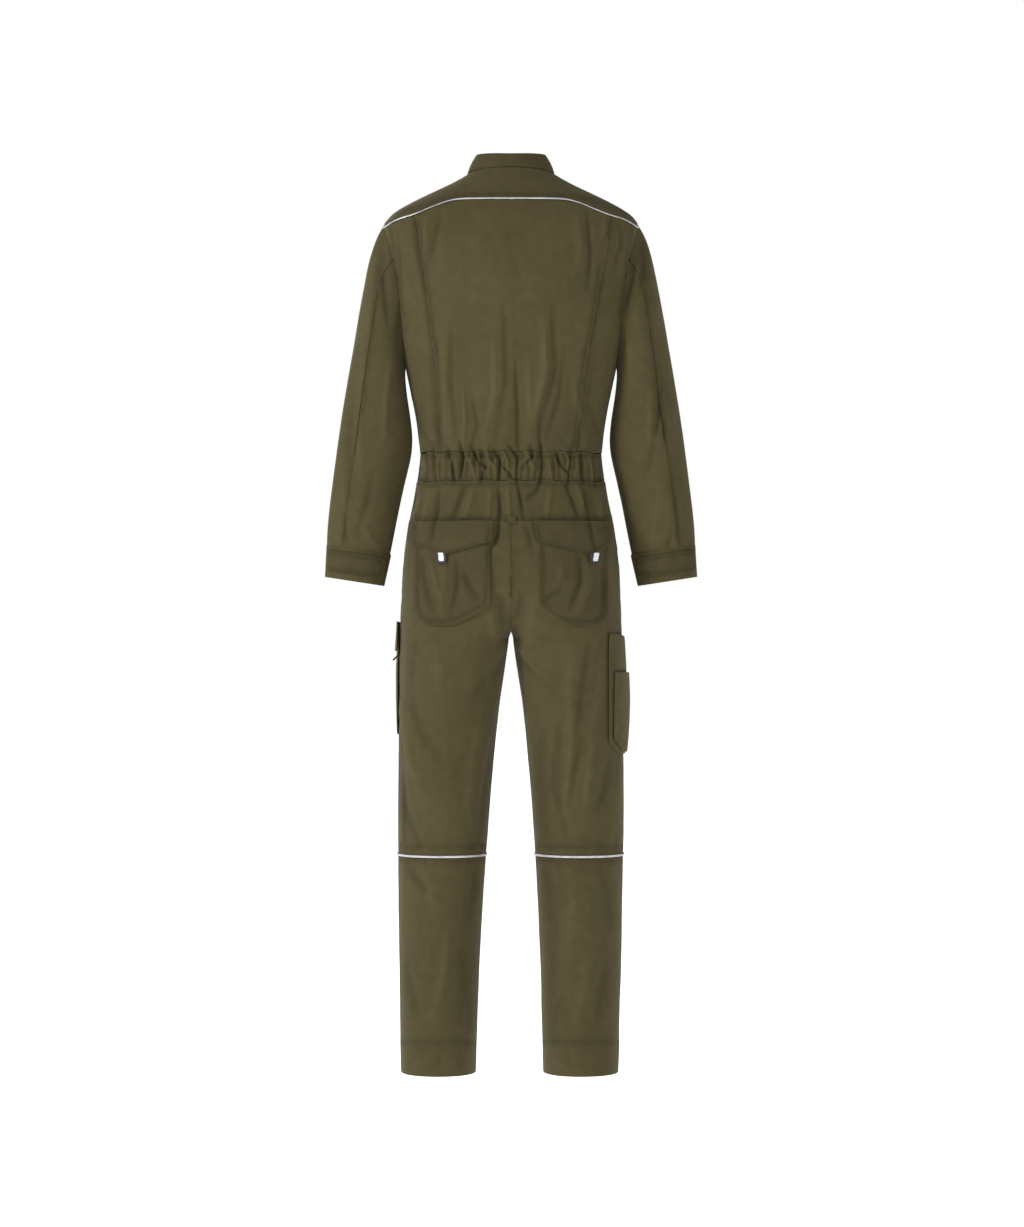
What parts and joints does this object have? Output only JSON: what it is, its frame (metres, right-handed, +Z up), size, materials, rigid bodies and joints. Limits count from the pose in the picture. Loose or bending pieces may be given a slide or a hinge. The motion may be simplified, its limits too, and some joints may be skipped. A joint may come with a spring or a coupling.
{
  "type": "boiler suit",
  "caption": "One-piece work suit in worn form: yoke, gathered waist, long sleeves with tabbed cuffs, straight legs, patch and thigh pockets, hollow inside.",
  "frame": {"origin": "neck and shoulder level on the centre plane, where the garment is held on the shoulders", "axes": "+Z up along the garment, the front faces -Y, the wearer's left is +X"},
  "size_m": [0.6542, 0.2627, 1.6038],
  "materials": {
    "twill": "matte olive twill",
    "reflective_piping": "silver reflective",
    "dark_trim": "matte"
  },
  "bodies": {
    "root": {"back_centre": "twill", "back_side_left": "twill", "back_side_right": "twill", "front_body_left": "twill", "front_body_right": "twill", "yoke": "twill", "waist_casing": "twill", "seat_yoke": "twill", "centre_back_bar": "twill", "back_leg_left": "twill", "front_leg_left": "twill", "back_lower_leg_left": "twill", "front_lower_leg_left": "twill", "back_leg_right": "twill", "front_leg_right": "twill", "back_lower_leg_right": "twill", "front_lower_leg_right": "twill", "sleeve_under_left": "twill", "sleeve_outer_left": "twill", "sleeve_under_right": "twill", "sleeve_outer_right": "twill", "cuff_left": "twill", "cuff_tab_left": "twill", "cuff_right": "twill", "cuff_tab_right": "twill", "collar_stand": "twill", "collar_fall": "twill", "front_fly": "twill", "back_pocket_left": "twill", "flap_left": "twill", "back_pocket_right": "twill", "flap_right": "twill", "thigh_pocket_right": "twill", "thigh_pocket_right_outer": "twill", "thigh_pocket_left": "twill", "thigh_pocket_left_flap": "twill", "thigh_cord_tail": "twill", "yoke_piping": "reflective_piping", "knee_piping_left": "reflective_piping", "knee_piping_right": "reflective_piping", "flap_tab_left": "dark_trim", "flap_tab_right": "dark_trim", "front_zip_strip": "dark_trim"}
  },
  "joints": []
}
